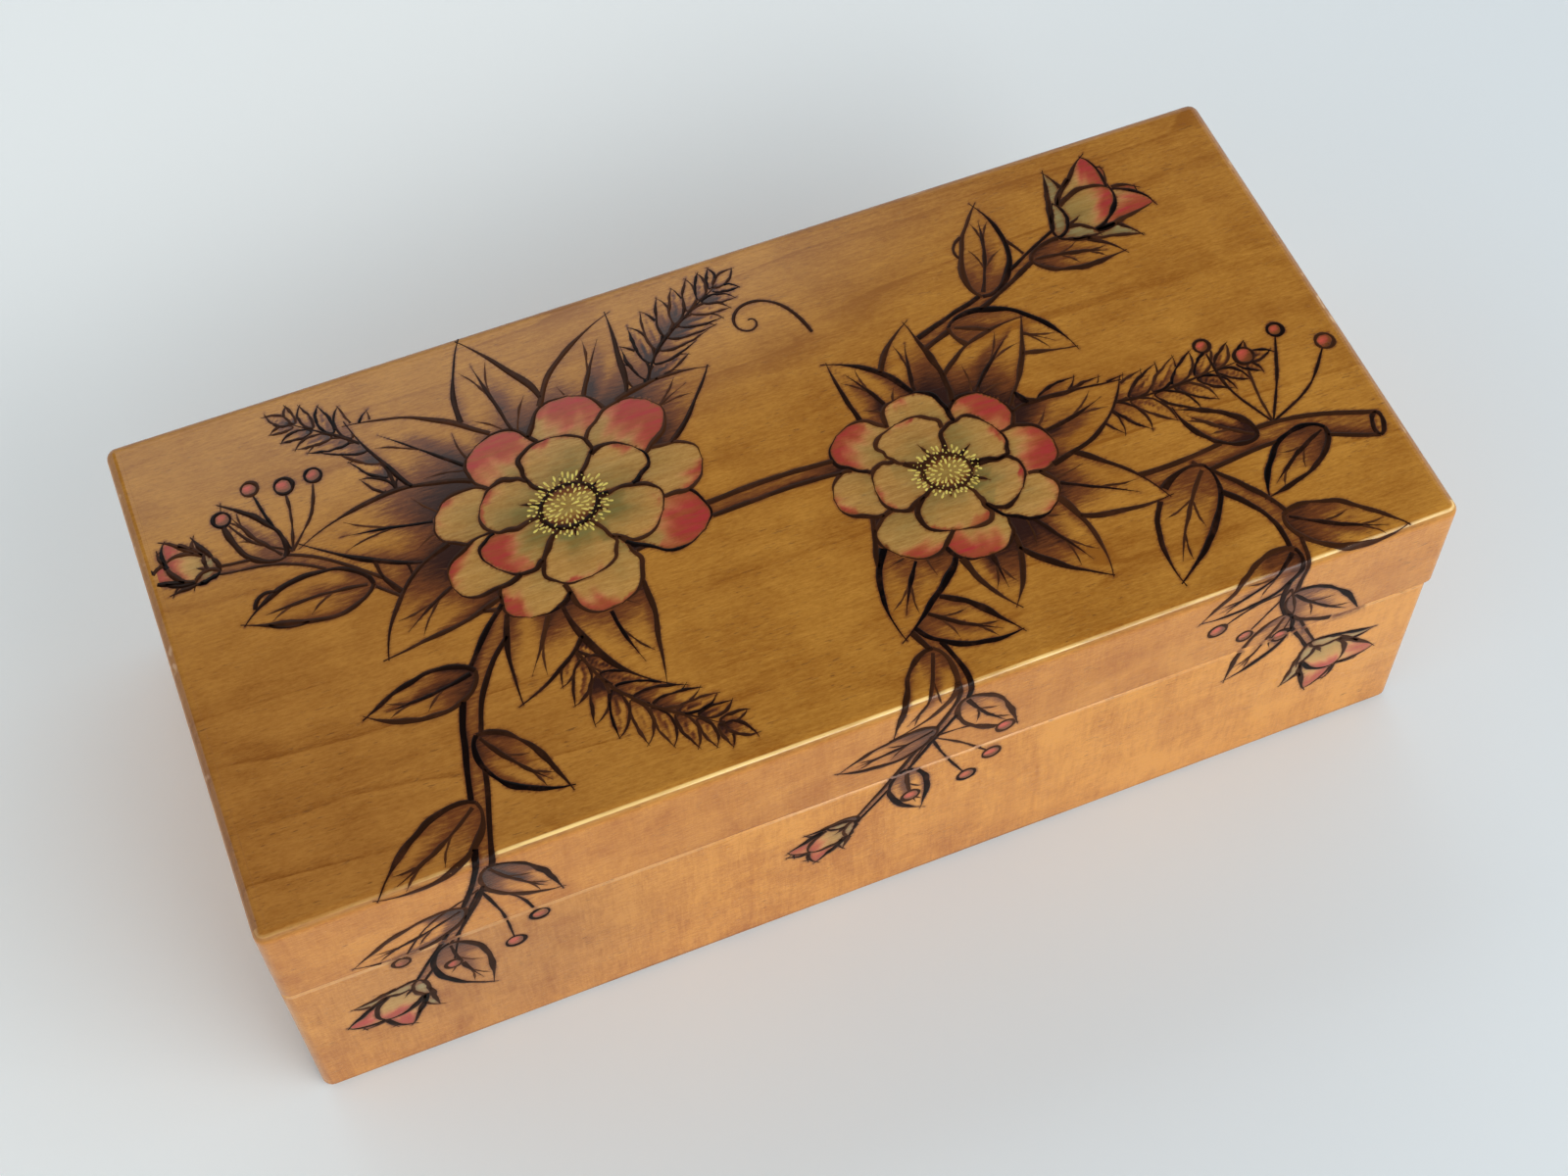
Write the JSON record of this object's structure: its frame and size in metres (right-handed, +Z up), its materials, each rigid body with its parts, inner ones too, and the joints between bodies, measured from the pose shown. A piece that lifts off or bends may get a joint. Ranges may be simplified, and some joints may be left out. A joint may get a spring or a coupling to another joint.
{
  "type": "wooden jewelry box",
  "caption": "Long low rectangular wooden box, varnished and decorated, with a flat lid on hidden back hinges and a padded lining, for jewelry and keepsakes.",
  "frame": {"origin": "middle of the closed box's footprint, on the surface it stands on", "axes": "+X along the box to its right end, -Y to the front, +Z up"},
  "size_m": [0.21, 0.1, 0.062],
  "materials": {
    "lid_wood": "satin varnish over fine-pored light wood",
    "base_wood": "satin varnish over fine-pored light wood",
    "burnt_line": "wood burnt near black under gloss varnish",
    "brass": "satin",
    "felt": "matt felt"
  },
  "bodies": {
    "base": {"base_front_wall": "base_wood", "base_back_wall": "base_wood", "base_left_wall": "base_wood", "base_right_wall": "base_wood", "base_bottom_panel": "base_wood", "floor_lining": "felt", "left_hinge_base_leaf": "brass", "left_hinge_pin": "brass", "left_hinge_base_screw_1": "brass", "left_hinge_base_screw_2": "brass", "right_hinge_base_leaf": "brass", "right_hinge_pin": "brass", "right_hinge_base_screw_1": "brass", "right_hinge_base_screw_2": "brass"},
    "lid": {"lid_front_wall": "lid_wood", "lid_back_wall": "lid_wood", "lid_left_wall": "lid_wood", "lid_right_wall": "lid_wood", "lid_top_panel": "lid_wood", "lid_lining": "felt", "left_hinge_lid_leaf": "brass", "left_hinge_lid_screw_1": "brass", "left_hinge_lid_screw_2": "brass", "right_hinge_lid_leaf": "brass", "right_hinge_lid_screw_1": "brass", "right_hinge_lid_screw_2": "brass"}
  },
  "joints": [
    {"name": "lid_hinge", "type": "hinge", "parent": "base", "child": "lid", "pos_m": [0, 0.0484, 0.03955], "axis": [-1, 0, 0], "range_deg": [0, 100]}
  ]
}
